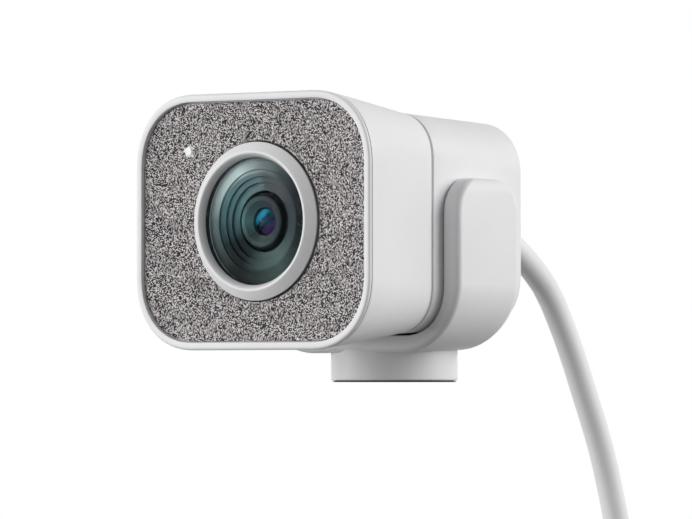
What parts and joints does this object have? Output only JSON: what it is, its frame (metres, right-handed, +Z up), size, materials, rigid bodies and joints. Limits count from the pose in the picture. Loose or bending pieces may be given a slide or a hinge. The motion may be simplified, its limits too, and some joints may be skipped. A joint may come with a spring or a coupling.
{
  "type": "streaming webcam on tripod bracket",
  "caption": "Webcam with a fabric-covered face round its lens, which rolls from landscape to portrait on a housing that tilts in a U-shaped tripod bracket.",
  "frame": {"origin": "centre of the bracket's mounting face, where the tripod screw enters", "axes": "+X to the right seen from the front, +Y towards the back, +Z up"},
  "size_m": [0.0586, 0.1306, 0.1739],
  "materials": {
    "white_plastic": "satin",
    "grey_fabric": "woven melange",
    "black_plastic": "matte",
    "lens_glass": "polished, dark",
    "steel": "plain",
    "copper": "enamelled winding",
    "aluminium": "plain",
    "brass": "turned",
    "circuit_board": "solder mask",
    "sensor_glass": "polished",
    "light_guide": "clear",
    "black_rubber": "matte",
    "cable_rubber": "satin"
  },
  "bodies": {
    "bracket": {"tripod_bracket": "white_plastic", "thread_insert": "brass", "foot_pad": "black_rubber", "left_pivot_pin": "steel", "right_pivot_pin": "steel"},
    "camera_base": {"rear_housing": "white_plastic", "left_tilt_bush": "black_plastic", "right_tilt_bush": "black_plastic", "swivel_hub": "steel", "swivel_washer": "black_plastic", "swivel_retainer": "steel", "swivel_screw_1": "steel", "swivel_screw_2": "steel", "swivel_screw_3": "steel", "strain_relief": "cable_rubber", "cable_clip": "steel", "cable": "cable_rubber", "cable_coil": "cable_rubber", "cable_tie": "black_rubber", "plug_grip": "cable_rubber", "plug_connector": "steel"},
    "head": {"front_shell": "white_plastic", "front_bezel": "white_plastic", "fabric_panel": "grey_fabric", "fabric_carrier": "black_plastic", "lens_ring": "white_plastic", "lens_window": "lens_glass", "lens_baffle": "black_plastic", "focus_motor": "steel", "image_sensor": "sensor_glass", "sensor_board": "circuit_board", "front_frame": "black_plastic", "left_microphone": "black_rubber", "right_microphone": "black_rubber", "led_guide": "light_guide", "main_board": "circuit_board", "heat_sink": "aluminium", "board_screw_1": "steel", "board_screw_2": "steel", "board_screw_3": "steel", "board_screw_4": "steel"},
    "lens": {"lens_barrel": "black_plastic", "front_element": "lens_glass", "focus_coil": "copper"}
  },
  "joints": [
    {"name": "tilt", "type": "hinge", "parent": "bracket", "child": "camera_base", "pos_m": [0, -0.0018, 0.0311], "axis": [-1, 0, 0], "range_deg": [-2, 10]},
    {"name": "head_roll", "type": "hinge", "parent": "camera_base", "child": "head", "pos_m": [0, -0.01565, 0.0311], "axis": [0, 1, 0], "range_deg": [0, 90]},
    {"name": "focus", "type": "slide", "parent": "head", "child": "lens", "axis": [0, -1, 0], "range_m": [0, 0.0003], "stiffness_N_per_m": 60}
  ]
}
